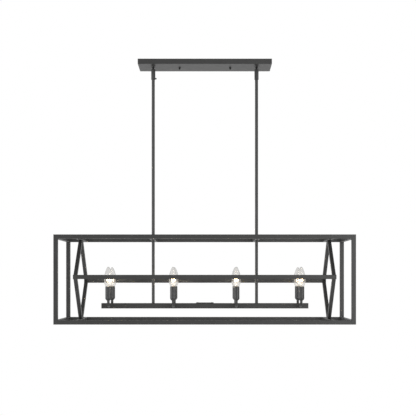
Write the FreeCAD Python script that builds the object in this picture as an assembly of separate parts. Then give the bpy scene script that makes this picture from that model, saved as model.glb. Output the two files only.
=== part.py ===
import FreeCAD, Part
import math
import os
from FreeCAD import Vector

# Linear island pendant: a box cage of square tube hangs on two rods from a long ceiling canopy.
# Inside the cage a lamp bar carries eight candle lights, and a diamond stands near each end.
# Millimetres. Origin on the ceiling plane at the canopy's centre, +X along the cage, -Y to the front,
# +Z up. Heights called "drop" are measured downwards from the piece named.

# ------------------------------------------------------------------ canopy and its mounting strap
CANOPY_LENGTH = 487.0
CANOPY_DEPTH = 121.0
CANOPY_HEIGHT = 19.0
CANOPY_WALL = 1.2
CANOPY_CORNER = 2.5          # radius of the four upright edges
CANOPY_EDGE = 1.6            # radius round the lower edge

STRAP_OVERHANG = 12.0        # strap length past each stud
STRAP_WIDTH = 25.0
STRAP_THICKNESS = 1.6
STRAP_SLOTS_APART = 88.9     # junction box screws, centre to centre
STRAP_SLOT_LENGTH = 14.0
STRAP_SLOT_WIDTH = 5.0
GROUND_SCREW_X = 20.0
GROUND_SCREW_RADIUS = 1.9
GROUND_HEAD_ACROSS_FLATS = 7.0
GROUND_HEAD_HEIGHT = 2.6

STUDS_APART = 186.8
STUD_RADIUS = 2.05
STUD_HOLE_CLEARANCE = 0.45   # radial, in the canopy floor
LOCK_NUT_ACROSS_FLATS = 7.0
LOCK_NUT_HEIGHT = 3.2
CAP_NUT_RADIUS = 4.0
CAP_NUT_HEIGHT = 7.5
CAP_NUT_RIM = 2.2            # straight part next to the canopy
CAP_NUT_SHOULDER = 0.7       # step in, between the straight part and the dome
CAP_NUT_BORE_DEPTH = 5.0
STUD_END_GAP = 1.0           # stud's end to the bore's end
THREAD_CLEARANCE = 0.05      # radial, between a thread and what it screws into

# ------------------------------------------------------------------ hang-straight swivels
RODS_APART = 381.0
BALL_RADIUS = 9.0
BALL_CLEARANCE = 0.05        # radial, ball to seat
SWIVEL_HOLE_RADIUS = 7.0     # in the canopy floor and through the seat's foot
SEAT_RADIUS = 12.0
SEAT_HEIGHT = 5.0
NECK_RADIUS = 3.4
NECK_BARE = 6.6              # neck showing between canopy and collar
NECK_IN_COLLAR = 13.0
SWIVEL_WIREWAY = 2.2         # bore radius down the ball and neck
COLLAR_RADIUS = 7.65
COLLAR_LENGTH = 38.0
COLLAR_EDGE = 0.8
ROD_IN_COLLAR = 15.0
SET_SCREW_RADIUS = 1.8
SET_SCREW_HEAD_RADIUS = 2.6
SET_SCREW_HEAD_LENGTH = 3.6
SET_SCREW_GAP = 0.8          # head to collar
SET_SCREW_RISE = 4.2         # above the collar's lower end
SET_SCREW_SLOT_WIDTH = 0.9
SET_SCREW_SLOT_DEPTH = 1.2

# ------------------------------------------------------------------ rods and inner stems
ROD_RADIUS = 5.75
ROD_BORE = 4.5
STEM_RADIUS = 5.5
STEM_WIREWAY = 3.0
NIPPLE_CLEARANCE = 0.1       # radial, nipple to rod bore and to cross bar hole
NIPPLE_IN_ROD = 14.0

# ------------------------------------------------------------------ cage
CAGE_DROP = 622.4            # canopy underside to cage top
CAGE_LENGTH = 1067.0
CAGE_DEPTH = 305.0
CAGE_HEIGHT = 318.0
FRAME_TUBE = 15.0
FRAME_WALL = 1.2
TUBE_CORNER = 1.4            # outer corner radius of every square tube

# ------------------------------------------------------------------ end diamonds and middle rails
DIAMOND_INSET = 76.5         # cage end to the diamond's plane
DIAMOND_TUBE = 13.0
DIAMOND_WALL = 1.2
FRONT_RAIL_RISE = 9.0        # front middle rail, above the cage's mid-height
REAR_RAIL_RISE = -5.0        # rear middle rail, below it
MID_RAIL_OVERHANG = 1.0      # past the diamond's outer face
MID_RAIL_END = 1.5           # thickness of its closed ends

# ------------------------------------------------------------------ lamp bar
BAR_DROP = 246.0             # cage top to bar top
BAR_LENGTH = 762.0
BAR_TUBE = 19.5
BAR_WALL = 1.5
END_CAP = 2.0
END_CAP_CHAMFER = 0.7
COVER_LENGTH = 65.0
COVER_WIDTH = 16.0
COVER_THICKNESS = 2.4
COVER_CHAMFER = 0.6
COVER_SCREWS_APART = 52.0
COVER_SCREW_RADIUS = 1.5
COVER_HEAD_RADIUS = 2.8
COVER_HEAD_HEIGHT = 1.4
COVER_SLOT_WIDTH = 0.8
COVER_SLOT_DEPTH = 0.7
COVER_SCREW_REACH = 3.0      # below the top of the bar
WIRE_OPENING_LENGTH = 34.0
WIRE_OPENING_WIDTH = 10.0

# ------------------------------------------------------------------ candle lights
STATION_INSET = 32.0         # end of the lamp bar to the outer candles' centres
INNER_STATIONS_APART = 229.0
CANDLE_REACH = 65.0          # bar centre to candle centre
ARM_RADIUS = 4.75
ARM_WALL = 1.25
ARM_BEND = 15.0              # centreline radius
CUP_FOOT_RADIUS = 5.3
CUP_HEIGHT = 7.7
CUP_SWELL_RADIUS = 8.8       # where the cup's side passes a third of the way up
CUP_SWELL_RISE = 3.2
CUP_SPIGOT = 3.0             # ring that centres the sleeve
SLEEVE_RADIUS = 11.0
SLEEVE_WALL = 1.2
SLEEVE_LENGTH = 43.0
SLEEVE_CLEARANCE = 0.2       # radial, spigot to sleeve
SLEEVE_TOP_RISE = 61.4       # bar top to sleeve top
HOLDER_CLEARANCE = 0.5       # radial, lampholder to sleeve

# ------------------------------------------------------------------ bulbs, candelabra screw base
BASE_RADIUS = 5.85
BASE_RUNNING_GAP = 0.35      # radial, base to lampholder
THREAD_PITCH = 2.54
THREAD_DEPTH = 0.45
THREAD_TURNS = 5
COLLAR_RIM_RADIUS = 6.6      # plain rim above the thread
COLLAR_RIM_HEIGHT = 4.0
INSULATOR_HEIGHT = 2.0
CONTACT_RADIUS = 2.2
CONTACT_HEIGHT = 1.4
CONTACT_GAP = 0.3            # contact to the lampholder's floor
BULB_SEAT_DEPTH = 3.0        # sleeve top down to the glass's foot
HOLDER_SINK = 1.0            # glass's foot down to the lampholder's top
GLASS_RADIUS = 15.6
GLASS_HEIGHT = 71.6          # sleeve top to the bulb's tip
BELLY_RISE = 23.6            # sleeve top to the widest place
TIP_RADIUS = 5.0
GLASS_WALL = 0.8
GLASS_SLEEVE_GAP = 0.5       # radial, glass to the inside of the sleeve's top
MOUNT_RADIUS = 2.4           # glass mount that carries the filament
MOUNT_HEIGHT = 22.0

CUT = 1.0                    # how far a cutter runs past the face it opens

# ------------------------------------------------------------------ places worked out from the sizes
CANOPY_UNDER = -CANOPY_HEIGHT
CANOPY_FLOOR = CANOPY_UNDER + CANOPY_WALL
ROD_X = RODS_APART / 2
PIVOT_Z = CANOPY_FLOOR + math.sqrt(BALL_RADIUS ** 2 - SWIVEL_HOLE_RADIUS ** 2)
COLLAR_TOP = CANOPY_UNDER - NECK_BARE
COLLAR_FOOT = COLLAR_TOP - COLLAR_LENGTH
ROD_TOP = COLLAR_FOOT + ROD_IN_COLLAR

CAGE_TOP = CANOPY_UNDER - CAGE_DROP
CAGE_BOTTOM = CAGE_TOP - CAGE_HEIGHT
CAGE_MIDDLE = (CAGE_TOP + CAGE_BOTTOM) / 2
RAIL_Y = (CAGE_DEPTH - FRAME_TUBE) / 2          # long rails' centrelines
RAIL_Z = (CAGE_HEIGHT - FRAME_TUBE) / 2
POST_X = (CAGE_LENGTH - FRAME_TUBE) / 2
RAIL_INNER_Y = RAIL_Y - FRAME_TUBE / 2
DIAMOND_X = CAGE_LENGTH / 2 - DIAMOND_INSET

BAR_TOP = CAGE_TOP - BAR_DROP
BAR_MIDDLE = BAR_TOP - BAR_TUBE / 2
OUTER_STATION = BAR_LENGTH / 2 - STATION_INSET
INNER_STATION = INNER_STATIONS_APART / 2
STATIONS_X = (-OUTER_STATION, -INNER_STATION, INNER_STATION, OUTER_STATION)
SLEEVE_TOP = BAR_TOP + SLEEVE_TOP_RISE
SLEEVE_FOOT = SLEEVE_TOP - SLEEVE_LENGTH
CUP_FOOT = SLEEVE_FOOT - CUP_HEIGHT
SLEEVE_BORE = SLEEVE_RADIUS - SLEEVE_WALL
GLASS_FOOT = SLEEVE_TOP - BULB_SEAT_DEPTH
BASE_LENGTH = COLLAR_RIM_HEIGHT + THREAD_TURNS * THREAD_PITCH + INSULATOR_HEIGHT + CONTACT_HEIGHT

UP = Vector(0, 0, 1)
RIGHT = Vector(1, 0, 0)
BACK = Vector(0, 1, 0)
SIDES = (("left", -1), ("right", 1))
FACES = (("front", -1), ("rear", 1))
LEVELS = (("top", 1), ("bottom", -1))


# ------------------------------------------------------------------ helpers
def save(node, solids):
    """Writes one node: a single solid, or a group of separate ones."""
    shape = solids[0] if len(solids) == 1 else Part.makeCompound(solids)
    shape.exportStep("parts/" + node + ".step")
    print(node, len(solids), "solid(s)", round(shape.Volume, 1), "mm3")


def block(low, high):
    """Box between two corners."""
    size = high - low
    return Part.makeBox(size.x, size.y, size.z, low)


def pillar(radius, low, high, x=0.0, y=0.0):
    """Upright cylinder from height low to height high."""
    return Part.makeCylinder(radius, high - low, Vector(x, y, low))


def turned(edges, x=0.0, y=0.0):
    """Solid turned about the upright axis through (x, y) from edges in the XZ plane."""
    face = Part.Face(Part.Wire(edges))
    solid = face.revolve(Vector(0, 0, 0), UP, 360)
    solid.translate(Vector(x, y, 0))
    return solid


def placed_along(shape, start, direction, across):
    """Moves a shape built along +Z, with +X across it, to start and turns it to direction."""
    along = Vector(direction).normalize()
    side = Vector(across).normalize()
    third = along.cross(side)
    shape.Placement = FreeCAD.Placement(FreeCAD.Matrix(
        side.x, third.x, along.x, start.x,
        side.y, third.y, along.y, start.y,
        side.z, third.z, along.z, start.z,
        0, 0, 0, 1))
    return shape


def square_tube(start, end, across, tube, wall, end_wall=0.0):
    """Square tube with rounded edges; end_wall closes both its ends."""
    length = (end - start).Length
    half = tube / 2
    outer = Part.makeBox(tube, tube, length, Vector(-half, -half, 0))
    long_edges = [edge for edge in outer.Edges if edge.Vertexes[0].X == edge.Vertexes[1].X
                  and edge.Vertexes[0].Y == edge.Vertexes[1].Y]
    outer = outer.makeFillet(TUBE_CORNER, long_edges)
    bore = tube - 2 * wall
    inner = Part.makeBox(bore, bore, length - 2 * end_wall, Vector(-bore / 2, -bore / 2, end_wall))
    return placed_along(outer.cut(inner), start, end - start, across)


def trimmed(shape, point, normal):
    """Cuts away what lies past the plane through point, on the side that normal points to."""
    reach = 2 * shape.BoundBox.DiagonalLength
    cutter = Part.makeBox(reach, reach, reach, Vector(-reach / 2, -reach / 2, 0))
    cutter.Placement = FreeCAD.Placement(point, FreeCAD.Rotation(UP, normal))
    return shape.cut(cutter)


def hexagon(across_flats, low, high, x, y):
    """Upright hexagonal prism."""
    radius = across_flats / math.sqrt(3)
    corners = [Vector(x + radius * math.cos(math.radians(60 * k)),
                      y + radius * math.sin(math.radians(60 * k)), low) for k in range(7)]
    return Part.Face(Part.makePolygon(corners)).extrude(Vector(0, 0, high - low))


# ------------------------------------------------------------------ ceiling end
def canopy():
    """Shallow pan, open at the ceiling, with holes for the swivel necks and the studs."""
    half_x, half_y = CANOPY_LENGTH / 2, CANOPY_DEPTH / 2
    pan = block(Vector(-half_x, -half_y, CANOPY_UNDER), Vector(half_x, half_y, 0))
    upright = [edge for edge in pan.Edges if edge.BoundBox.ZLength > CANOPY_HEIGHT / 2]
    pan = pan.makeFillet(CANOPY_CORNER, upright)
    lower = [edge for edge in pan.Edges if edge.BoundBox.ZMax < CANOPY_UNDER + CANOPY_WALL / 2]
    pan = pan.makeFillet(CANOPY_EDGE, lower)
    inner_x, inner_y = half_x - CANOPY_WALL, half_y - CANOPY_WALL
    pan = pan.cut(block(Vector(-inner_x, -inner_y, CANOPY_FLOOR), Vector(inner_x, inner_y, CUT)))
    low, high = CANOPY_UNDER - CUT, CANOPY_FLOOR + CUT
    for _, side in SIDES:
        pan = pan.cut(pillar(SWIVEL_HOLE_RADIUS, low, high, side * ROD_X))
        pan = pan.cut(pillar(STUD_RADIUS + STUD_HOLE_CLEARANCE, low, high, side * STUDS_APART / 2))
    return pan


def mounting_strap():
    """Flat steel bar against the ceiling with two slots and holes for the studs and ground screw."""
    half_x = STUDS_APART / 2 + STRAP_OVERHANG
    half_y = STRAP_WIDTH / 2
    strap = block(Vector(-half_x, -half_y, -STRAP_THICKNESS), Vector(half_x, half_y, 0))
    slot_run = (STRAP_SLOT_LENGTH - STRAP_SLOT_WIDTH) / 2
    low, high = -STRAP_THICKNESS - CUT, CUT
    for _, side in SIDES:
        x = side * STRAP_SLOTS_APART / 2
        for end in (-1, 1):
            strap = strap.cut(pillar(STRAP_SLOT_WIDTH / 2, low, high, x + end * slot_run))
        strap = strap.cut(block(Vector(x - slot_run, -STRAP_SLOT_WIDTH / 2, low),
                                Vector(x + slot_run, STRAP_SLOT_WIDTH / 2, high)))
        strap = strap.cut(pillar(STUD_RADIUS + THREAD_CLEARANCE, low, high, side * STUDS_APART / 2))
    return strap.cut(pillar(GROUND_SCREW_RADIUS + THREAD_CLEARANCE, low, high, GROUND_SCREW_X))


def strap_stud(side):
    """Threaded stud from the strap to inside the cap nut, with its lock nut under the strap."""
    x = side * STUDS_APART / 2
    foot = CANOPY_UNDER - CAP_NUT_BORE_DEPTH + STUD_END_GAP
    nut = hexagon(LOCK_NUT_ACROSS_FLATS, -STRAP_THICKNESS - LOCK_NUT_HEIGHT, -STRAP_THICKNESS, x, 0)
    return pillar(STUD_RADIUS, foot, 0, x).fuse(nut).removeSplitter()


def cap_nut(side):
    """Domed nut under the canopy."""
    rim_foot = CANOPY_UNDER - CAP_NUT_RIM
    tip = CANOPY_UNDER - CAP_NUT_HEIGHT
    waist = CAP_NUT_RADIUS - CAP_NUT_SHOULDER
    shoulder = rim_foot - CAP_NUT_SHOULDER
    straight = Part.makePolygon([Vector(waist, 0, shoulder),
                                 Vector(CAP_NUT_RADIUS, 0, rim_foot),
                                 Vector(CAP_NUT_RADIUS, 0, CANOPY_UNDER),
                                 Vector(0, 0, CANOPY_UNDER),
                                 Vector(0, 0, tip)])
    eighth = math.sqrt(0.5)
    halfway = Vector(waist * eighth, 0, shoulder + (tip - shoulder) * eighth)
    dome = Part.Arc(Vector(0, 0, tip), halfway, Vector(waist, 0, shoulder)).toShape()
    nut = turned(straight.Edges + [dome], side * STUDS_APART / 2)
    return nut.cut(pillar(STUD_RADIUS + THREAD_CLEARANCE, CANOPY_UNDER - CAP_NUT_BORE_DEPTH,
                          CANOPY_UNDER + CUT, side * STUDS_APART / 2))


def ground_screw():
    """Screw with a hexagonal head under the strap and its shank in the strap."""
    head_top = -STRAP_THICKNESS
    head_foot = head_top - GROUND_HEAD_HEIGHT
    head = hexagon(GROUND_HEAD_ACROSS_FLATS, head_foot, head_top, GROUND_SCREW_X, 0)
    return head.fuse(pillar(GROUND_SCREW_RADIUS, head_foot, 0, GROUND_SCREW_X)).removeSplitter()


def swivel_seat(side):
    """Dished ring on the canopy floor that the swivel ball rests in."""
    ring = pillar(SEAT_RADIUS, CANOPY_FLOOR, CANOPY_FLOOR + SEAT_HEIGHT, side * ROD_X)
    ring = ring.cut(pillar(SWIVEL_HOLE_RADIUS, CANOPY_UNDER, 0, side * ROD_X))
    return ring.cut(Part.makeSphere(BALL_RADIUS + BALL_CLEARANCE, Vector(side * ROD_X, 0, PIVOT_Z)))


# ------------------------------------------------------------------ swivels, rods and stems
def swivel_ball(side):
    """Ball and threaded neck, bored for the wires."""
    x = side * ROD_X
    foot = COLLAR_TOP - NECK_IN_COLLAR
    ball = Part.makeSphere(BALL_RADIUS, Vector(x, 0, PIVOT_Z))
    ball = ball.fuse(pillar(NECK_RADIUS, foot, PIVOT_Z, x))
    return ball.cut(pillar(SWIVEL_WIREWAY, foot - CUT, PIVOT_Z + BALL_RADIUS, x))


def set_screw_axis(side):
    """Way that a collar's set screw points: the left one sideways, the right one to the rear."""
    return RIGHT if side < 0 else BACK


def set_screw_hole(side, radius, start, length):
    """Cylinder along a set screw's axis, from a distance off the collar's centre."""
    centre = Vector(side * ROD_X, 0, COLLAR_FOOT + SET_SCREW_RISE)
    axis = set_screw_axis(side)
    return Part.makeCylinder(radius, length, centre + axis * start, axis)


def swivel_collar(side):
    """Sleeve that joins the swivel neck to the rod."""
    x = side * ROD_X
    collar = pillar(COLLAR_RADIUS, COLLAR_FOOT, COLLAR_TOP, x)
    rims = [edge for edge in collar.Edges if len(edge.Vertexes) == 1]
    collar = collar.makeFillet(COLLAR_EDGE, rims)
    collar = collar.cut(pillar(NECK_RADIUS + THREAD_CLEARANCE, ROD_TOP, COLLAR_TOP + CUT, x))
    collar = collar.cut(pillar(ROD_RADIUS + THREAD_CLEARANCE, COLLAR_FOOT - CUT, ROD_TOP, x))
    bore = SET_SCREW_RADIUS + THREAD_CLEARANCE
    return collar.cut(set_screw_hole(side, bore, ROD_RADIUS, COLLAR_RADIUS))


def set_screw(side):
    """Thumb screw whose point bears on the rod."""
    head_start = COLLAR_RADIUS + SET_SCREW_GAP
    head_end = head_start + SET_SCREW_HEAD_LENGTH
    shank = set_screw_hole(side, SET_SCREW_RADIUS, ROD_RADIUS, head_end - ROD_RADIUS)
    head = set_screw_hole(side, SET_SCREW_HEAD_RADIUS, head_start, SET_SCREW_HEAD_LENGTH)
    axis = set_screw_axis(side)
    across = RIGHT + BACK - axis
    centre = Vector(side * ROD_X, 0, COLLAR_FOOT + SET_SCREW_RISE) + axis * head_end
    reach = (axis * SET_SCREW_SLOT_DEPTH + across * 2 * SET_SCREW_HEAD_RADIUS
             + UP * SET_SCREW_SLOT_WIDTH / 2)
    return shank.fuse(head).cut(block(centre - reach, centre + reach)).removeSplitter()


def rod(side):
    """Tube from the swivel collar to the top of the cage's cross bar."""
    x = side * ROD_X
    bore = pillar(ROD_BORE, CAGE_TOP - CUT, ROD_TOP + CUT, x)
    return pillar(ROD_RADIUS, CAGE_TOP, ROD_TOP, x).cut(bore)


def inner_stem(side):
    """Tube from the cross bar down to the lamp bar; its nipple goes up through the bar into the rod."""
    x = side * ROD_X
    stem = pillar(STEM_RADIUS, BAR_TOP, CAGE_TOP - FRAME_TUBE, x)
    nipple_top = CAGE_TOP + NIPPLE_IN_ROD
    stem = stem.fuse(pillar(ROD_BORE - NIPPLE_CLEARANCE, BAR_TOP, nipple_top, x))
    return stem.cut(pillar(STEM_WIREWAY, BAR_TOP - CUT, nipple_top + CUT, x)).removeSplitter()


# ------------------------------------------------------------------ cage
def cage_corner(x_side, y_side, level):
    """Point where the centrelines of a rail and a post meet."""
    return Vector(x_side * POST_X, y_side * RAIL_Y, CAGE_MIDDLE + level * RAIL_Z)


def long_rail(y_side, level):
    """Front or rear rail along X, mitred to the posts."""
    height = CAGE_MIDDLE + level * RAIL_Z
    ends = [Vector(side * CAGE_LENGTH / 2, y_side * RAIL_Y, height) for side in (-1, 1)]
    rail = square_tube(ends[0], ends[1], BACK, FRAME_TUBE, FRAME_WALL)
    for side in (-1, 1):
        rail = trimmed(rail, cage_corner(side, y_side, level), Vector(side, 0, -level))
    return rail


def post(x_side, y_side):
    """Upright at a corner, mitred to the long rails."""
    ends = [Vector(x_side * POST_X, y_side * RAIL_Y, height) for height in (CAGE_BOTTOM, CAGE_TOP)]
    upright = square_tube(ends[0], ends[1], RIGHT, FRAME_TUBE, FRAME_WALL)
    for level in (-1, 1):
        upright = trimmed(upright, cage_corner(x_side, y_side, level), Vector(-x_side, 0, level))
    return upright


def cross_tube(x, level, tube, wall):
    """Front-to-rear tube between the inner faces of the long rails."""
    height = CAGE_MIDDLE + level * RAIL_Z
    front, rear = Vector(x, -RAIL_INNER_Y, height), Vector(x, RAIL_INNER_Y, height)
    return square_tube(front, rear, RIGHT, tube, wall)


def rod_cross_bar(side):
    """Top cross bar that carries a rod and its stem, drilled for the nipple."""
    bar = cross_tube(side * ROD_X, 1, FRAME_TUBE, FRAME_WALL)
    return bar.cut(pillar(ROD_BORE, CAGE_TOP - FRAME_TUBE - CUT, CAGE_TOP + CUT, side * ROD_X))


# ------------------------------------------------------------------ diamonds and middle rails
def mid_rail_height(y_side):
    """Centre height of the front or rear middle rail."""
    return CAGE_MIDDLE + (FRONT_RAIL_RISE if y_side < 0 else REAR_RAIL_RISE)


def mid_rail_end():
    """Distance from the centre to a middle rail's end."""
    return DIAMOND_X + DIAMOND_TUBE / 2 + MID_RAIL_OVERHANG


def mid_rail(y_side):
    """Rail along X that joins the two diamonds at their front or rear corners."""
    ends = [Vector(side * mid_rail_end(), y_side * RAIL_Y, mid_rail_height(y_side)) for side in (-1, 1)]
    return square_tube(ends[0], ends[1], BACK, FRAME_TUBE, FRAME_WALL, MID_RAIL_END)


def diamond_member(x_side, y_side, level):
    """Slanted tube from a middle rail to the cross bar at the diamond's upper or lower tip."""
    foot = Vector(x_side * DIAMOND_X, y_side * RAIL_Y, mid_rail_height(y_side))
    tip = Vector(x_side * DIAMOND_X, 0, CAGE_MIDDLE + level * RAIL_Z)
    slant = (tip - foot).normalize()
    member = square_tube(foot, tip + slant * DIAMOND_TUBE, RIGHT, DIAMOND_TUBE, DIAMOND_WALL)
    member = trimmed(member, tip, Vector(0, -y_side, 0))
    member = trimmed(member, foot, Vector(0, 0, -level))
    member = trimmed(member, tip - UP * level * DIAMOND_TUBE / 2, Vector(0, 0, level))
    half = FRAME_TUBE / 2
    rail_low = Vector(-mid_rail_end(), foot.y - half, foot.z - half)
    rail_high = Vector(mid_rail_end(), foot.y + half, foot.z + half)
    return member.cut(block(rail_low, rail_high))


# ------------------------------------------------------------------ lamp bar
def lamp_bar():
    """Square tube under the stems, drilled for the wires of the stems, arms and cover opening."""
    end = BAR_LENGTH / 2 - END_CAP
    bar = square_tube(Vector(-end, 0, BAR_MIDDLE), Vector(end, 0, BAR_MIDDLE), BACK, BAR_TUBE, BAR_WALL)
    for _, side in SIDES:
        bar = bar.cut(pillar(STEM_WIREWAY, BAR_MIDDLE, BAR_TOP + CUT, side * ROD_X))
        bar = bar.cut(pillar(COVER_SCREW_RADIUS + THREAD_CLEARANCE, BAR_MIDDLE, BAR_TOP + CUT,
                             side * COVER_SCREWS_APART / 2))
    for x in STATIONS_X:
        front = Vector(x, -BAR_TUBE, BAR_MIDDLE)
        bar = bar.cut(Part.makeCylinder(ARM_RADIUS - ARM_WALL, 2 * BAR_TUBE, front, BACK))
    opening = Vector(WIRE_OPENING_LENGTH / 2, WIRE_OPENING_WIDTH / 2, 0)
    return bar.cut(block(UP * BAR_MIDDLE - opening, UP * (BAR_TOP + CUT) + opening))


def bar_end_cap(side):
    """Plate that closes an end of the lamp bar, chamfered round its outer face."""
    half = BAR_TUBE / 2
    inner_x = side * (BAR_LENGTH / 2 - END_CAP)
    outer_x = side * BAR_LENGTH / 2
    cap = block(Vector(min(inner_x, outer_x), -half, BAR_TOP - BAR_TUBE),
                Vector(max(inner_x, outer_x), half, BAR_TOP))
    rim = [edge for edge in cap.Edges if abs(edge.CenterOfMass.x - outer_x) < END_CAP / 2
           and edge.BoundBox.XLength < END_CAP / 2]
    return cap.makeChamfer(END_CAP_CHAMFER, rim)


def wire_cover():
    """Plate over the wiring opening in the top of the lamp bar."""
    plate = block(Vector(-COVER_LENGTH / 2, -COVER_WIDTH / 2, BAR_TOP),
                  Vector(COVER_LENGTH / 2, COVER_WIDTH / 2, BAR_TOP + COVER_THICKNESS))
    rim = [edge for edge in plate.Edges if edge.BoundBox.ZMin > BAR_TOP + COVER_THICKNESS / 2]
    plate = plate.makeChamfer(COVER_CHAMFER, rim)
    for _, side in SIDES:
        plate = plate.cut(pillar(COVER_SCREW_RADIUS + THREAD_CLEARANCE, BAR_TOP - CUT,
                                 BAR_TOP + COVER_THICKNESS + CUT, side * COVER_SCREWS_APART / 2))
    return plate


def cover_screw(side):
    """Slotted screw with a low domed head on the wire cover."""
    x = side * COVER_SCREWS_APART / 2
    seat = BAR_TOP + COVER_THICKNESS
    crown = seat + COVER_HEAD_HEIGHT
    dome_radius = (COVER_HEAD_RADIUS ** 2 + COVER_HEAD_HEIGHT ** 2) / (2 * COVER_HEAD_HEIGHT)
    head = Part.makeSphere(dome_radius, Vector(x, 0, crown - dome_radius))
    head = head.common(pillar(COVER_HEAD_RADIUS, seat, crown, x))
    slot = block(Vector(x - COVER_SLOT_WIDTH / 2, -COVER_HEAD_RADIUS, crown - COVER_SLOT_DEPTH),
                 Vector(x + COVER_SLOT_WIDTH / 2, COVER_HEAD_RADIUS, crown + CUT))
    shank = pillar(COVER_SCREW_RADIUS, BAR_TOP - COVER_SCREW_REACH, crown - COVER_SLOT_DEPTH, x)
    return head.cut(slot).fuse(shank).removeSplitter()


# ------------------------------------------------------------------ candle lights
def socket_arm(x, y_side):
    """Bent tube from the side of the lamp bar out and up to the cup."""
    reach = y_side * CANDLE_REACH
    bend_start = Vector(x, reach - y_side * ARM_BEND, BAR_MIDDLE)
    bend_end = Vector(x, reach, BAR_MIDDLE + ARM_BEND)
    lean = ARM_BEND * (1 - math.sqrt(0.5))
    bend_mid = Vector(x, reach - y_side * lean, BAR_MIDDLE + lean)
    root = Vector(x, y_side * BAR_TUBE / 2, BAR_MIDDLE)
    top = Vector(x, reach, CUP_FOOT)
    path = Part.Wire([Part.LineSegment(root, bend_start).toShape(),
                      Part.Arc(bend_start, bend_mid, bend_end).toShape(),
                      Part.LineSegment(bend_end, top).toShape()])
    pipes = []
    for radius in (ARM_RADIUS, ARM_RADIUS - ARM_WALL):
        ring = Part.Wire([Part.Circle(root, BACK, radius).toShape()])
        pipes.append(path.makePipeShell([ring], True, False))
    return pipes[0].cut(pipes[1])


def socket_cup(x, y_side):
    """Turned cup on the arm; its rim carries the candle sleeve and its spigot centres it."""
    spigot = SLEEVE_BORE - SLEEVE_CLEARANCE
    spigot_top = SLEEVE_FOOT + CUP_SPIGOT
    bore = ARM_RADIUS - ARM_WALL
    swell = Part.Arc(Vector(CUP_FOOT_RADIUS, 0, CUP_FOOT),
                     Vector(CUP_SWELL_RADIUS, 0, CUP_FOOT + CUP_SWELL_RISE),
                     Vector(SLEEVE_RADIUS, 0, SLEEVE_FOOT)).toShape()
    straight = Part.makePolygon([Vector(SLEEVE_RADIUS, 0, SLEEVE_FOOT),
                                 Vector(spigot, 0, SLEEVE_FOOT),
                                 Vector(spigot, 0, spigot_top),
                                 Vector(bore, 0, spigot_top),
                                 Vector(bore, 0, CUP_FOOT),
                                 Vector(CUP_FOOT_RADIUS, 0, CUP_FOOT)])
    return turned([swell] + straight.Edges, x, y_side * CANDLE_REACH)


def candle_sleeve(x, y_side):
    """Tube that hides the lampholder."""
    y = y_side * CANDLE_REACH
    tube = pillar(SLEEVE_RADIUS, SLEEVE_FOOT, SLEEVE_TOP, x, y)
    return tube.cut(pillar(SLEEVE_BORE, SLEEVE_FOOT - CUT, SLEEVE_TOP + CUT, x, y))


def lampholder(x, y_side):
    """Lampholder on the cup's spigot, bored for the bulb's rim and screw base."""
    y = y_side * CANDLE_REACH
    top = GLASS_FOOT - HOLDER_SINK
    rim_foot = GLASS_FOOT - COLLAR_RIM_HEIGHT - BASE_RUNNING_GAP
    floor = GLASS_FOOT - BASE_LENGTH - CONTACT_GAP
    body = pillar(SLEEVE_BORE - HOLDER_CLEARANCE, SLEEVE_FOOT + CUP_SPIGOT, top, x, y)
    body = body.cut(pillar(COLLAR_RIM_RADIUS + BASE_RUNNING_GAP, rim_foot, top + CUT, x, y))
    return body.cut(pillar(BASE_RADIUS + BASE_RUNNING_GAP, floor, top, x, y))


def bulb_base(x, y_side):
    """Screw base: contact, insulator, rounded thread and plain rim."""
    contact_top = GLASS_FOOT - BASE_LENGTH + CONTACT_HEIGHT
    thread_foot = contact_top + INSULATOR_HEIGHT
    root = BASE_RADIUS - THREAD_DEPTH
    edges = []
    for turn in range(THREAD_TURNS):
        low = thread_foot + turn * THREAD_PITCH
        crest = low + THREAD_PITCH / 2
        edges.append(Part.Arc(Vector(root, 0, low), Vector(BASE_RADIUS, 0, crest),
                              Vector(root, 0, low + THREAD_PITCH)).toShape())
    rim_foot = thread_foot + THREAD_TURNS * THREAD_PITCH
    edges += Part.makePolygon([Vector(root, 0, rim_foot), Vector(COLLAR_RIM_RADIUS, 0, rim_foot),
                               Vector(COLLAR_RIM_RADIUS, 0, GLASS_FOOT), Vector(0, 0, GLASS_FOOT),
                               Vector(0, 0, contact_top - CONTACT_HEIGHT),
                               Vector(CONTACT_RADIUS, 0, contact_top - CONTACT_HEIGHT),
                               Vector(CONTACT_RADIUS, 0, contact_top),
                               Vector(root, 0, thread_foot)]).Edges
    return turned(edges, x, y_side * CANDLE_REACH)


def arc_about(centre, radius, start, end):
    """Arc in the XZ plane about centre, from the direction of one point to that of another."""
    ends = [(point - centre).normalize() for point in (start, end)]
    middle = (ends[0] + ends[1]).normalize()
    return Part.Arc(*[centre + way * radius for way in (ends[0], middle, ends[1])]).toShape()


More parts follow.
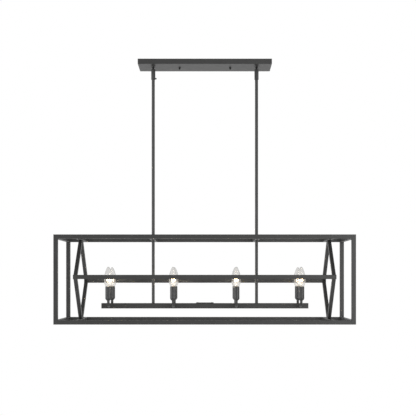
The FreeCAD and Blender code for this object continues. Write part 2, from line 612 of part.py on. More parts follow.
def glass_form(inset):
    """Torpedo form of the envelope, drawn in from its outside by inset: foot, belly, side and tip."""
    mouth = Vector(SLEEVE_BORE - GLASS_SLEEVE_GAP, 0, SLEEVE_TOP)
    belly = Vector(GLASS_RADIUS, 0, SLEEVE_TOP + BELLY_RISE)
    tip = Vector(0, 0, SLEEVE_TOP + GLASS_HEIGHT)
    swell = belly.x - mouth.x
    lower_radius = (swell ** 2 + BELLY_RISE ** 2) / (2 * swell)
    upper = tip.z - TIP_RADIUS - belly.z
    side_radius = (belly.x ** 2 + upper ** 2 - TIP_RADIUS ** 2) / (2 * (belly.x - TIP_RADIUS))
    lower_centre = belly - RIGHT * lower_radius
    side_centre = belly - RIGHT * side_radius
    tip_centre = tip - UP * TIP_RADIUS
    shoulder = tip_centre + (tip_centre - side_centre).normalize() * TIP_RADIUS
    arcs = [arc_about(lower_centre, lower_radius - inset, mouth, belly),
            arc_about(side_centre, side_radius - inset, belly, shoulder),
            arc_about(tip_centre, TIP_RADIUS - inset, shoulder, tip)]
    foot = GLASS_FOOT + inset
    closing = Part.makePolygon([arcs[-1].Vertexes[-1].Point, Vector(0, 0, foot),
                                Vector(COLLAR_RIM_RADIUS - inset, 0, foot), arcs[0].Vertexes[0].Point])
    return turned(arcs + closing.Edges)


def bulb_glass(x, y_side):
    """Hollow glass envelope with the solid glass mount that stands inside it."""
    mount_top = GLASS_FOOT + MOUNT_HEIGHT
    mount = pillar(MOUNT_RADIUS, GLASS_FOOT, mount_top)
    mount = mount.fuse(Part.makeSphere(MOUNT_RADIUS, Vector(0, 0, mount_top)))
    glass = glass_form(0).cut(glass_form(GLASS_WALL).cut(mount))
    glass.translate(Vector(x, y_side * CANDLE_REACH, 0))
    return glass


# ------------------------------------------------------------------ the nodes
def at_both(make):
    """One of a piece at each side."""
    return [make(side) for _, side in SIDES]


def at_candles(make):
    """One of a piece at each of the eight candles."""
    return [make(x, y_side) for _, y_side in FACES for x in STATIONS_X]


def main():
    os.makedirs("parts", exist_ok=True)

    save("canopy", [canopy()])
    save("mounting_strap", [mounting_strap()])
    save("strap_studs", at_both(strap_stud))
    save("cap_nuts", at_both(cap_nut))
    save("ground_screw", [ground_screw()])
    save("swivel_seats", at_both(swivel_seat))

    save("swivel_balls", at_both(swivel_ball))
    save("swivel_collars", at_both(swivel_collar))
    save("collar_set_screws", at_both(set_screw))
    save("inner_stems", at_both(inner_stem))
    for name, side in SIDES:
        save(name + "_rod", [rod(side)])

    for face, y_side in FACES:
        for level_name, level in LEVELS:
            save(face + "_" + level_name + "_rail", [long_rail(y_side, level)])
        for name, x_side in SIDES:
            save(face + "_" + name + "_post", [post(x_side, y_side)])
        save(face + "_mid_rail", [mid_rail(y_side)])
    for name, x_side in SIDES:
        for level_name, level in LEVELS:
            save(name + "_" + level_name + "_depth_rail",
                 [cross_tube(x_side * POST_X, level, FRAME_TUBE, FRAME_WALL)])
            for face, y_side in FACES:
                save(name + "_diamond_" + face + "_" + level_name, [diamond_member(x_side, y_side, level)])
    save("rod_cross_bars", at_both(rod_cross_bar))
    save("diamond_cross_bars", [cross_tube(x_side * DIAMOND_X, level, DIAMOND_TUBE, DIAMOND_WALL)
                                for _, x_side in SIDES for _, level in LEVELS])

    save("lamp_bar", [lamp_bar()])
    save("bar_end_caps", at_both(bar_end_cap))
    save("wire_cover", [wire_cover()])
    save("cover_screws", at_both(cover_screw))

    save("socket_arms", at_candles(socket_arm))
    save("socket_cups", at_candles(socket_cup))
    save("candle_sleeves", at_candles(candle_sleeve))
    save("lampholders", at_candles(lampholder))
    for face, y_side in FACES:
        for place, x in enumerate(STATIONS_X, start=1):
            save("bulb_" + face + "_" + str(place) + "_base", [bulb_base(x, y_side)])
            save("bulb_" + face + "_" + str(place) + "_glass", [bulb_glass(x, y_side)])


main()
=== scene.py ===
import math

import bmesh
import bpy
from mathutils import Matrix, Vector


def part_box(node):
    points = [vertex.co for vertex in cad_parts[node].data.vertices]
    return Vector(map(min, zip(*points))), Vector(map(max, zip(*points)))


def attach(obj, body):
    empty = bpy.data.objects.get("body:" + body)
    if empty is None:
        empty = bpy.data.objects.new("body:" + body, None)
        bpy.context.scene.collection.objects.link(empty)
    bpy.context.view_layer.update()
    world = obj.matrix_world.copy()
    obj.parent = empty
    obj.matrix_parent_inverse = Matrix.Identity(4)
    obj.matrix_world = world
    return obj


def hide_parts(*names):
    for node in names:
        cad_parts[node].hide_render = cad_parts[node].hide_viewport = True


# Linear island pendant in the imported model's frame: metres, origin on the ceiling plane at the
# canopy's centre, +X along the cage, -Y to the front, +Z up.

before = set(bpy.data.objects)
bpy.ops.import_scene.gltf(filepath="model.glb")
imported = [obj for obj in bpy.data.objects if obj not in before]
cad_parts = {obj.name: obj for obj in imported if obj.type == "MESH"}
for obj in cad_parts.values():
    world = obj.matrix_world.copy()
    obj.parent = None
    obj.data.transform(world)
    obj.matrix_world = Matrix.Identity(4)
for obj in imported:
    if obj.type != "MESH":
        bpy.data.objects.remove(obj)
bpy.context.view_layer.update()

MM = 0.001
BULBS = [(face, place) for face in ("front", "rear") for place in (1, 2, 3, 4)]
X, Y, Z = Vector((1, 0, 0)), Vector((0, 1, 0)), Vector((0, 0, 1))
BOTH = (-1, 1)                # the two sides of a middle plane


# ------------------------------------------------------------------ places read from the solids
def mid(name):
    """Centre of a node's box."""
    low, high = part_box(name)
    return (low + high) / 2


def width(name):
    """Size of a node's box along X."""
    low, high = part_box(name)
    return high.x - low.x


rail_low, rail_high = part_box("front_top_rail")
TUBE = rail_high.z - rail_low.z
CAGE_TOP = rail_high.z
CAGE_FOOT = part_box("front_bottom_rail")[0].z
CAGE_MIDDLE = (CAGE_TOP + CAGE_FOOT) / 2
HALF_X = rail_high.x
HALF_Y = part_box("rear_top_rail")[1].y
HALF_Z = (CAGE_TOP - CAGE_FOOT) / 2

ROD_X = mid("right_rod").x
ROD_RADIUS = width("right_rod") / 2
STEM_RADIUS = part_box("inner_stems")[1].x - ROD_X
COLLAR_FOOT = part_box("swivel_collars")[0].z
COLLAR_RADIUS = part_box("swivel_collars")[1].x - ROD_X
BAR_LOW, BAR_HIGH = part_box("lamp_bar")
STRAP_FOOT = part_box("mounting_strap")[0].z
CANOPY_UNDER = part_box("canopy")[0].z
NUT_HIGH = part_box("cap_nuts")[1]
STUD_X = NUT_HIGH.x - NUT_HIGH.y              # a cap nut's reach along X, less its radius
CUP_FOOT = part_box("socket_cups")[0].z
SLEEVE_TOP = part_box("candle_sleeves")[1].z

bulb_axis = {bulb: mid("bulb_%s_%d_glass" % bulb) for bulb in BULBS}
BULB_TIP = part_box("bulb_front_1_glass")[1].z
GLASS_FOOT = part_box("bulb_front_1_glass")[0].z
GLASS_RADIUS = width("bulb_front_1_glass") / 2
BASE_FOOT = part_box("bulb_front_1_base")[0].z
RIM_RADIUS = width("bulb_front_1_base") / 2


# ------------------------------------------------------------------ node helpers
def material(name):
    """Node material with a Principled shader; gives material, tree and shader."""
    made = bpy.data.materials.new(name)
    made.use_nodes = True
    tree = made.node_tree
    return made, tree, tree.nodes["Principled BSDF"]


def node(tree, kind, **values):
    """Adds a node and sets its properties and unlinked inputs."""
    made = tree.nodes.new(kind)
    for key, value in values.items():
        if key in made.inputs:
            made.inputs[key].default_value = value
        else:
            setattr(made, key, value)
    return made


NOISE_LOW, NOISE_HIGH = 0.3, 0.7          # the range that most of a noise lies in


def object_noise(tree, scale, detail=3.0, roughness=0.55, stretch=(1, 1, 1)):
    """Noise over the object's own coordinates, in metres."""
    place = node(tree, "ShaderNodeTexCoord")
    mapping = node(tree, "ShaderNodeMapping")
    mapping.inputs["Scale"].default_value = stretch
    noise = node(tree, "ShaderNodeTexNoise", Scale=scale, Detail=detail, Roughness=roughness)
    tree.links.new(place.outputs["Object"], mapping.inputs["Vector"])
    tree.links.new(mapping.outputs["Vector"], noise.inputs["Vector"])
    return noise.outputs["Fac"]


def ramp(tree, value, low, high, colours):
    """Colour ramp from low to high over two or more evenly spaced colours."""
    made = node(tree, "ShaderNodeValToRGB")
    stops = made.color_ramp.elements
    while len(stops) < len(colours):
        stops.new(0.5)
    for i, colour in enumerate(colours):
        stops[i].position = low + (high - low) * i / (len(colours) - 1)
        stops[i].color = (*colour, 1)
    tree.links.new(value, made.inputs["Fac"])
    return made.outputs["Color"]


def spread(tree, value, low, high, from_low=NOISE_LOW, from_high=NOISE_HIGH):
    """Maps a value's usual range to low..high."""
    made = node(tree, "ShaderNodeMapRange")
    for name, number in (("From Min", from_low), ("From Max", from_high),
                         ("To Min", low), ("To Max", high)):
        made.inputs[name].default_value = number
    tree.links.new(value, made.inputs["Value"])
    return made.outputs["Result"]


def bump(tree, shader, height, strength, distance):
    """Bump from a height in 0..1; distance in metres."""
    made = node(tree, "ShaderNodeBump", Strength=strength, Distance=distance)
    tree.links.new(height, made.inputs["Height"])
    tree.links.new(made.outputs["Normal"], shader.inputs["Normal"])


# ------------------------------------------------------------------ materials
CLOUD_SCALE = 14.0            # noise scales, in waves per metre
PATCH_SCALE = 45.0
PEEL_SCALE = 700.0
PEEL_DEPTH = 0.01 * MM
PEEL_STRENGTH = 0.1
GRAIN_LOW, GRAIN_HIGH = 0.32, 0.68
GRAIN_DEPTH = 0.02 * MM
GRAIN_STRENGTH = 0.3


def painted(name, dark, light, rough_low, rough_high, specular=0.5,
            peel_depth=PEEL_DEPTH, peel_scale=PEEL_SCALE):
    """Satin paint on metal: faint orange peel, faint clouding, slightly uneven gloss."""
    made, tree, shader = material(name)
    cloud = object_noise(tree, CLOUD_SCALE, 4.0)
    tree.links.new(ramp(tree, cloud, NOISE_LOW, NOISE_HIGH, [dark, light]), shader.inputs["Base Color"])
    patches = object_noise(tree, PATCH_SCALE, 5.0)
    tree.links.new(spread(tree, patches, rough_low, rough_high), shader.inputs["Roughness"])
    shader.inputs["Specular IOR Level"].default_value = specular
    bump(tree, shader, object_noise(tree, peel_scale, 2.0), PEEL_STRENGTH, peel_depth)
    return made


def metal(name, dark, light, rough_low, rough_high, grain, stretch=(1, 1, 1)):
    """Bare metal with drawn or turned grain."""
    made, tree, shader = material(name)
    lines = object_noise(tree, grain, 4.0, 0.6, stretch)
    tree.links.new(ramp(tree, lines, GRAIN_LOW, GRAIN_HIGH, [dark, light]), shader.inputs["Base Color"])
    tree.links.new(spread(tree, lines, rough_low, rough_high), shader.inputs["Roughness"])
    shader.inputs["Metallic"].default_value = 1.0
    bump(tree, shader, lines, GRAIN_STRENGTH, GRAIN_DEPTH)
    return made


GLASS_CENTRE = (0.997, 0.997, 0.994)
GLASS_IOR = 1.45
EDGE_START = 0.45             # share of the way to edge-on where the glass starts to darken


def clear_glass(name, edge, roughness):
    """Clear glass, a little darker where the eye meets it edge-on."""
    made, tree, shader = material(name)
    facing = node(tree, "ShaderNodeLayerWeight", Blend=0.5)
    tint = ramp(tree, facing.outputs["Facing"], EDGE_START, 1.0, [GLASS_CENTRE, edge])
    tree.links.new(tint, shader.inputs["Base Color"])
    shader.inputs["Transmission Weight"].default_value = 1.0
    shader.inputs["Roughness"].default_value = roughness
    shader.inputs["IOR"].default_value = GLASS_IOR
    return made, tree, shader


# Painted glow for the bulb glass: an emission colour that stands in for the filament's light seen on the
# glass.
GLOW_FAR = 0.4                # share of the glow that is left at height high and above it
GLOW_CLOUD = 0.85             # least share in the glow's faint clouds


def glass_with_painted_glow(name, edge, roughness, glow, strength, low, high):
    """Clear glass with a painted glow: emission that stands in for the filament's light on the glass, in full
    up to height low and less towards high.
    """
    made, tree, shader = clear_glass(name, edge, roughness)
    place = node(tree, "ShaderNodeTexCoord")
    parts = node(tree, "ShaderNodeSeparateXYZ")
    tree.links.new(place.outputs["Object"], parts.inputs["Vector"])
    share = spread(tree, parts.outputs["Z"], GLOW_FAR, 1.0, high, low)
    cloud = spread(tree, object_noise(tree, 120.0), GLOW_CLOUD, 1.0)
    glowing = node(tree, "ShaderNodeMath", operation="MULTIPLY")
    tree.links.new(share, glowing.inputs[0])
    tree.links.new(cloud, glowing.inputs[1])
    tree.links.new(ramp(tree, glowing.outputs["Value"], 0.0, 1.0, [(0, 0, 0), glow]),
                   shader.inputs["Emission Color"])
    shader.inputs["Emission Strength"].default_value = strength
    return made


def hot_wire(name, colour, strength):
    """Glowing filament wire."""
    made, tree, shader = material(name)
    cooler = tuple(0.85 * share for share in colour)
    heat = ramp(tree, object_noise(tree, 700.0), NOISE_LOW, NOISE_HIGH, [cooler, colour])
    tree.links.new(heat, shader.inputs["Emission Color"])
    tree.links.new(heat, shader.inputs["Base Color"])
    shader.inputs["Emission Strength"].default_value = strength
    shader.inputs["Roughness"].default_value = 0.4
    return made


black = painted("satin_black_paint", (0.019, 0.019, 0.0185), (0.025, 0.025, 0.0245), 0.325, 0.375)
oxide = painted("black_oxide", (0.0045, 0.0045, 0.005), (0.008, 0.008, 0.0085), 0.26, 0.36, specular=0.3)
sleeve_black = painted("sleeve_black_paint", (0.019, 0.0192, 0.0195), (0.026, 0.0262, 0.0268), 0.22, 0.30)
green = painted("green_ground_paint", (0.010, 0.150, 0.045), (0.020, 0.210, 0.070), 0.35, 0.50)
plastic = painted("moulded_black", (0.022, 0.022, 0.022), (0.034, 0.034, 0.034), 0.50, 0.62,
                  peel_depth=0.03 * MM, peel_scale=1400.0)
zinc = metal("zinc_plated_steel", (0.50, 0.50, 0.49), (0.68, 0.68, 0.66), 0.30, 0.48, 120.0, (1, 8, 8))
nickel = metal("nickel_plate", (0.55, 0.53, 0.49), (0.74, 0.72, 0.68), 0.20, 0.34, 240.0, (1, 1, 5))
solder = metal("solder", (0.42, 0.42, 0.42), (0.58, 0.58, 0.57), 0.35, 0.55, 500.0)
vitrite = painted("black_insulator_glass", (0.008, 0.008, 0.010), (0.014, 0.013, 0.016), 0.08, 0.16)
WARM = (1.0, 0.80, 0.55)
# The bulb and stem glass carry a painted glow, an emission that stands in for the filament's light on them.
envelope_glass = glass_with_painted_glow("bulb_glass", (0.40, 0.40, 0.39), 0.0, WARM, 0.03,
                           SLEEVE_TOP + 22 * MM, SLEEVE_TOP + 40 * MM)
stem_glass = glass_with_painted_glow("stem_glass", (0.70, 0.69, 0.66), 0.25, WARM, 0.10,
                       SLEEVE_TOP + 18 * MM, SLEEVE_TOP + 60 * MM)
filament_glow = hot_wire("filament_glow", (1.0, 0.80, 0.52), 26.0)


def finish(name, made):
    """Gives a CAD node one material."""
    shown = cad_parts[name]
    shown.data.materials.clear()
    shown.data.materials.append(made)


FINISH = {
    "mounting_strap": zinc, "strap_studs": zinc, "ground_screw": green,
    "swivel_seats": zinc, "candle_sleeves": sleeve_black, "lampholders": plastic,
    "cap_nuts": oxide, "swivel_balls": oxide, "collar_set_screws": oxide, "cover_screws": oxide,
}
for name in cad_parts:
    if name.endswith("_base"):
        finish(name, nickel)
    elif name.endswith("_glass"):
        finish(name, envelope_glass)
    else:
        finish(name, FINISH.get(name, black))


# ------------------------------------------------------------------ mesh helpers
def piece(name, build, materials, body=None, instead_of=None, hollow=False):
    """Smooth object from a bmesh builder; rides on a body and may stand for a CAD node.

    A hollow piece keeps its builder's face directions, so that its inside faces its hollow."""
    made = bmesh.new()
    build(made)
    if not hollow:
        bmesh.ops.recalc_face_normals(made, faces=made.faces)
    data = bpy.data.meshes.new(name)
    made.to_mesh(data)
    made.free()
    for face in data.polygons:
        face.use_smooth = True
    for used in materials:
        data.materials.append(used)
    shown = bpy.data.objects.new(name, data)
    bpy.context.scene.collection.objects.link(shown)
    if body:
        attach(shown, body)
    if instead_of:
        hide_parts(instead_of)
    return shown


def join_rows(made, rows, closed=False, slot=0):
    """Faces between rows of vertices; closed joins each row's end to its start."""
    for a, b in zip(rows, rows[1:]):
        for k in range(len(a) if closed else len(a) - 1):
            after = (k + 1) % len(a)
            made.faces.new((a[k], a[after], b[after], b[k])).material_index = slot


def lathe(made, profile, axis, segments=48, slot=0):
    """Surface turned about the upright axis through axis, from (radius, height) pairs."""
    rows = []
    for radius, height in profile:
        if radius == 0:
            rows.append([made.verts.new((axis.x, axis.y, height))])
            continue
        rows.append([made.verts.new((axis.x + radius * math.cos(2 * math.pi * k / segments),
                                     axis.y + radius * math.sin(2 * math.pi * k / segments), height))
                     for k in range(segments)])
    for a, b in zip(rows, rows[1:]):
        if len(a) > 1 and len(b) > 1:
            join_rows(made, [a, b], closed=True, slot=slot)
            continue
        point, ring = (a[0], b[::-1]) if len(a) == 1 else (b[0], a)
        for k in range(segments):
            made.faces.new((point, ring[k], ring[(k + 1) % segments])).material_index = slot


WIRE_SIDES = 5


def tube_along(made, points, radius):
    """Round wire through points, closed at both ends."""
    rings = []
    side = None
    for i, point in enumerate(points):
        ahead = (points[min(i + 1, len(points) - 1)] - points[max(i - 1, 0)]).normalized()
        if side is None:
            side = ahead.orthogonal().normalized()
        side = (side - ahead * side.dot(ahead)).normalized()
        third = ahead.cross(side)
        turns = [2 * math.pi * k / WIRE_SIDES for k in range(WIRE_SIDES)]
        rings.append([made.verts.new(point + (side * math.cos(turn) + third * math.sin(turn)) * radius)
                      for turn in turns])
    join_rows(made, rings, closed=True)
    made.faces.new(rings[0][::-1])
    made.faces.new(rings[-1])


def smooth_points(corners, steps):
    """Points of a smooth line that passes through the corners."""
    points = []
    for i in range(len(corners) - 1):
        before = corners[max(i - 1, 0)]
        start, end = corners[i], corners[i + 1]
        after = corners[min(i + 2, len(corners) - 1)]
        for k in range(steps):
            t = k / steps
            points.append(0.5 * ((2 * start) + (end - before) * t
                                 + (2 * before - 5 * start + 4 * end - after) * t * t
                                 + (3 * start - before - 3 * end + after) * t ** 3))
    points.append(corners[-1].copy())
    return points


def arc(centre_x, centre_z, radius, start, end, steps):
    """(radius, height) pairs along an arc between two angles from the horizontal, in radians."""
    angles = [start + (end - start) * k / steps for k in range(steps + 1)]
    return [(centre_x + radius * math.cos(a), centre_z + radius * math.sin(a)) for a in angles]


# ------------------------------------------------------------------ welds and seams
RIPPLE = 1.3 * MM             # length of one ripple of a weld
LONG_RIPPLE = 2.7 * RIPPLE    # a slower, half as deep ripple over it
RIPPLE_DEPTH = 0.10           # share of the weld's size
WELD_STEP = 0.32 * MM
ARC_STEPS = 4
UNDER = 0.05 * MM             # how far a bead's edges run under the faces it lies on
BEVEL = 1.5 * MM              # rounded edge of the square tubes


def rippled(size, along):
    """Size of a weld at a distance along it."""
    wave = math.sin(2 * math.pi * along / RIPPLE) + 0.5 * math.sin(2 * math.pi * along / LONG_RIPPLE)
    return size * (1 + RIPPLE_DEPTH * wave)


def weld(made, start, end, first, second, size):
    """Concave bead along an inner corner; first and second point along its faces, away from it."""
    length = (end - start).length
    count = max(2, round(length / WELD_STEP))
    root = start.lerp(end, 0.5)
    rows = []
    for i in range(count + 1):
        here = start.lerp(end, i / count)
        grown = rippled(size, i / count * length + root.x + root.y)
        row = []
        for k in range(ARC_STEPS + 1):
            turn = math.pi / 2 * k / ARC_STEPS
            off = first * (1 - math.sin(turn)) + second * (1 - math.cos(turn))
            row.append(made.verts.new(here + off * grown - (first + second) * UNDER))
        rows.append(row)
    join_rows(made, rows)
    for here, row in ((start, rows[0]), (end, rows[-1])):
        made.faces.new([made.verts.new(here - (first + second) * UNDER)] + row)


def ring_weld(made, centre, axis, radius, size):
    """Concave bead round a round member where it leaves the face that axis points out of."""
    count = round(2 * math.pi * radius / WELD_STEP)
    side = axis.orthogonal().normalized()
    third = axis.cross(side)
    rows = []
    for i in range(count):
        turn = 2 * math.pi * i / count
        out = side * math.cos(turn) + third * math.sin(turn)
        grown = rippled(size, radius * turn)
        row = []
        for k in range(ARC_STEPS + 1):
            bend = math.pi / 2 * k / ARC_STEPS
            reach = radius - UNDER + grown * (1 - math.sin(bend))
            row.append(made.verts.new(centre + out * reach + axis * (grown * (1 - math.cos(bend)) - UNDER)))
        rows.append(row)
    join_rows(made, rows + [rows[0]])


SEAM_WIDTH = 1.1 * MM
SEAM_HEIGHT = 0.10 * MM
SEAM_STEPS = 3                # to either side of its middle
SEAM_END = 0.25               # share of its length over which each end fades out


def seam(made, start, end, normal):
    """Low ground bead across a flush joint."""
    across = (end - start).cross(normal).normalized()
    count = max(2, round((end - start).length / (2 * WELD_STEP)))
    rows = []
    for i in range(count + 1):
        here = start.lerp(end, i / count)
        fade = min(1.0, min(i, count - i) / (count * SEAM_END))
        row = []
        for k in range(-SEAM_STEPS, SEAM_STEPS + 1):
            share = k / (2 * SEAM_STEPS)
            rise = SEAM_HEIGHT * math.cos(math.pi * share) * fade - UNDER / 2
            row.append(made.verts.new(here + across * (SEAM_WIDTH * share) + normal * rise))
        rows.append(row)
    join_rows(made, rows)


INNER_X, INNER_Y, INNER_Z = HALF_X - TUBE, HALF_Y - TUBE, HALF_Z - TUBE
CORNERS = [(x, y, z) for x in BOTH for y in BOTH for z in BOTH]
CAGE_WELD = 1.9 * MM


def cage_point(x, y, z):
    """Point of the cage, with z from its mid-height."""
    return Vector((x, y, CAGE_MIDDLE + z))


def cage_welds(made):
    """Beads in the cage's eight corners and where the rod cross bars meet the top rails."""
    for sx, sy, sz in CORNERS:
        weld(made, cage_point(sx * INNER_X, sy * (HALF_Y - BEVEL), sz * INNER_Z),
             cage_point(sx * INNER_X, sy * (INNER_Y + BEVEL), sz * INNER_Z), -Z * sz, -X * sx, CAGE_WELD)
        weld(made, cage_point(sx * (HALF_X - BEVEL), sy * INNER_Y, sz * INNER_Z),
             cage_point(sx * (INNER_X + BEVEL), sy * INNER_Y, sz * INNER_Z), -Z * sz, -Y * sy, CAGE_WELD)
        weld(made, cage_point(sx * INNER_X, sy * INNER_Y, sz * (HALF_Z - BEVEL)),
             cage_point(sx * INNER_X, sy * INNER_Y, sz * (INNER_Z + BEVEL)), -X * sx, -Y * sy, CAGE_WELD)
    for side in BOTH:
        for flank in BOTH:
            x = side * ROD_X + flank * TUBE / 2
            for sy in BOTH:
                weld(made, cage_point(x, sy * INNER_Y, HALF_Z - BEVEL),
                     cage_point(x, sy * INNER_Y, INNER_Z + BEVEL), X * flank, -Y * sy, CAGE_WELD)


def cage_seams(made):
    """Ground beads on the mitres and the flush butt joints of the cage."""
    for sx, sy, sz in CORNERS:
        seam(made, cage_point(sx * (INNER_X + BEVEL / 2), sy * HALF_Y, sz * (INNER_Z + BEVEL / 2)),
             cage_point(sx * (HALF_X - BEVEL), sy * HALF_Y, sz * (HALF_Z - BEVEL)), Y * sy)
        seam(made, cage_point(sx * (INNER_X + BEVEL), sy * INNER_Y, sz * HALF_Z),
             cage_point(sx * (HALF_X - BEVEL), sy * INNER_Y, sz * HALF_Z), Z * sz)
        seam(made, cage_point(sx * HALF_X, sy * INNER_Y, sz * (INNER_Z + BEVEL)),
             cage_point(sx * HALF_X, sy * INNER_Y, sz * (HALF_Z - BEVEL)), X * sx)
    flat = TUBE / 2 - BEVEL
    for side in BOTH:
        for sy in BOTH:
            for height, up in ((HALF_Z, Z), (INNER_Z, -Z)):
                seam(made, cage_point(side * ROD_X - flat, sy * INNER_Y, height),
                     cage_point(side * ROD_X + flat, sy * INNER_Y, height), up)


DIAMOND_X = abs(mid("left_diamond_front_top").x)
DIAMOND_HALF = width("left_diamond_front_top") / 2
FOOT_WELD = 1.5 * MM
SLIM_WELD = 0.9 * MM          # where the rail leaves only a millimetre of face


def diamond_welds(made):
    """Beads at the diamonds' feet on the middle rails, at their tips and at the cross bars' ends."""
    half = TUBE / 2
    grip = DIAMOND_HALF - BEVEL
    for sx in BOTH:
        for sz in BOTH:
            tip = cage_point(sx * DIAMOND_X, 0, sz * (HALF_Z - half))
            for sy in BOTH:
                rail = mid("front_mid_rail" if sy < 0 else "rear_mid_rail")
                foot = Vector((tip.x, rail.y, rail.z))
                along = (tip - foot).normalized()
                out = (Y * (sy * abs(along.z)) + Z * (sz * abs(along.y))) * DIAMOND_HALF
                top = foot + out + along * ((sz * half - out.z) / along.z)
                low = foot - out + along * ((out.y - sy * half) / along.y)
                roof = tip + out + along * ((-sz * DIAMOND_HALF - out.z) / along.z)
                weld(made, top - X * grip, top + X * grip, along, Y * sy, FOOT_WELD)
                weld(made, low - X * grip, low + X * grip, along, -Z * sz, FOOT_WELD)
                weld(made, roof - X * grip, roof + X * grip, -along, Y * sy, FOOT_WELD)
                edge = Vector((tip.x, foot.y - sy * (half - BEVEL), foot.z + sz * half))
                inner = Vector((tip.x, foot.y - sy * half, foot.z + sz * (half - BEVEL)))
                for flank in BOTH:
                    beside = X * (flank * DIAMOND_HALF)
                    weld(made, top + beside, edge + beside, X * flank, Z * sz, SLIM_WELD)
                    weld(made, inner + beside, low + beside, X * flank, -Y * sy, SLIM_WELD)
                    wall = Vector((tip.x, sy * INNER_Y, tip.z))
                    weld(made, wall + beside - Z * grip, wall + beside + Z * grip,
                         X * flank, -Y * sy, FOOT_WELD)
                    rise = Z * (flank * DIAMOND_HALF)
                    weld(made, wall + rise - X * grip, wall + rise + X * grip,
                         Z * flank, -Y * sy, SLIM_WELD)


ROD_WELD = 1.3 * MM
ARM_WELD = 1.2 * MM
CUP_WELD = 0.55 * MM
ARM_RADIUS = 4.75 * MM


def round_welds(made):
    """Beads round the rods and stems, and round the socket arms at the bar and under the cups."""
    bar_middle = (BAR_LOW.z + BAR_HIGH.z) / 2
    for side in BOTH:
        x = side * ROD_X
        ring_weld(made, Vector((x, 0, CAGE_TOP)), Z, ROD_RADIUS, ROD_WELD)
        ring_weld(made, Vector((x, 0, CAGE_TOP - TUBE)), -Z, STEM_RADIUS, ROD_WELD)
        ring_weld(made, Vector((x, 0, BAR_HIGH.z)), Z, STEM_RADIUS, ROD_WELD)
    for axis in bulb_axis.values():
        outward = Y if axis.y > 0 else -Y
        root = Vector((axis.x, BAR_HIGH.y if axis.y > 0 else BAR_LOW.y, bar_middle))
        ring_weld(made, root, outward, ARM_RADIUS, ARM_WELD)
        ring_weld(made, Vector((axis.x, axis.y, CUP_FOOT)), -Z, ARM_RADIUS, CUP_WELD)


for name, build in (("cage_welds", cage_welds), ("cage_seams", cage_seams),
                    ("diamond_welds", diamond_welds), ("round_welds", round_welds)):
    piece(name, build, [black], "hanger")


# ------------------------------------------------------------------ knurled screw heads
KNURL_TEETH = 22
KNURL_DEPTH = 0.16 * MM
KNURL_RISE = 0.08 * MM        # valleys above the plain head
KNURL_CHAMFER = 0.12          # share of the head's length, at each end
SCREW_RISE = 4.2 * MM         # set screw's axis above the collar's foot
SCREW_HEAD_GAP = 0.8 * MM
SCREW_HEAD_LENGTH = 3.6 * MM
SCREW_HEAD_RADIUS = 2.6 * MM


def knurled_heads(made):
    """Knurled grip round each collar set screw's head: the left one points right, the other back."""
    steps = 4 * KNURL_TEETH
    for x, axis in ((-ROD_X, X), (ROD_X, Y)):
        side = axis.cross(Z)
        start = Vector((x, 0, COLLAR_FOOT + SCREW_RISE)) + axis * (COLLAR_RADIUS + SCREW_HEAD_GAP)
        rows = []
        for i in range(steps):
            turn = 2 * math.pi * i / steps
            out = side * math.cos(turn) + Z * math.sin(turn)
            tooth = KNURL_DEPTH * (0.5 + 0.5 * math.cos(KNURL_TEETH * turn))
            row = []
            for share, height in ((0, 0), (KNURL_CHAMFER, 1), (1 - KNURL_CHAMFER, 1), (1, 0)):
                reach = SCREW_HEAD_RADIUS - UNDER + (KNURL_RISE + tooth) * height
                row.append(made.verts.new(start + axis * (share * SCREW_HEAD_LENGTH) + out * reach))
            rows.append(row)
        join_rows(made, rows + [rows[0]])


piece("set_screw_knurls", knurled_heads, [oxide], "hanger")


# ------------------------------------------------------------------ threads
THREAD_SEGMENTS = 48
LEVELS_PER_TURN = 10


def thread(made, axis, foot, top, root, depth, pitch, fade):
    """Right-handed screw thread round an upright axis, shallower within fade of its ends."""
    levels = round(LEVELS_PER_TURN * (top - foot) / pitch)
    rows = []
    for i in range(levels + 1):
        height = foot + (top - foot) * i / levels
        ease = min(1.0, (height - foot) / fade, (top - height) / fade)
        row = []
        for k in range(THREAD_SEGMENTS):
            turn = 2 * math.pi * k / THREAD_SEGMENTS
            phase = 2 * math.pi * (height - foot) / pitch - turn
            radius = root + depth * ease * (0.5 - 0.5 * math.cos(phase))
            row.append(made.verts.new((axis.x + radius * math.cos(turn),
                                       axis.y + radius * math.sin(turn), height)))
        rows.append(row)
    join_rows(made, rows, closed=True)


STUD_RADIUS = 2.05 * MM
STUD_PITCH = 0.8 * MM
STUD_THREAD_DEPTH = 0.22 * MM
LOCK_NUT_HEIGHT = 3.2 * MM


def stud_threads(made):
    """Thread on each strap stud, from inside its lock nut to inside the hole in the canopy's floor."""
    for side in BOTH:
        thread(made, X * (side * STUD_X), CANOPY_UNDER + UNDER, STRAP_FOOT - LOCK_NUT_HEIGHT + UNDER,
               STUD_RADIUS - UNDER, STUD_THREAD_DEPTH, STUD_PITCH, STUD_PITCH / 2)


piece("stud_threads", stud_threads, [zinc], "canopy")


# ------------------------------------------------------------------ bulbs
THREAD_PITCH = 2.54 * MM
THREAD_CREST = 5.85 * MM
THREAD_DEPTH = 0.45 * MM
THREAD_FADE = 1 / 6           # share of the thread's length, at each end
RIM_HEIGHT = 4.0 * MM
RIM_ROUND = 0.5 * MM
INSULATOR_HEIGHT = 2.0 * MM
INSULATOR_SIDE = ((1.0, 1.0), (0.9, 0.75), (0.55, 0.1), (0.0, 0.0))   # shares of radius and height
CONTACT_RADIUS = 2.2 * MM
CONTACT_HEIGHT = 1.4 * MM
CONTACT_SUNK = 0.3 * MM
CONTACT_TURNS = (0.0, 0.4, 0.8, 1.2)                                  # angles round its dome


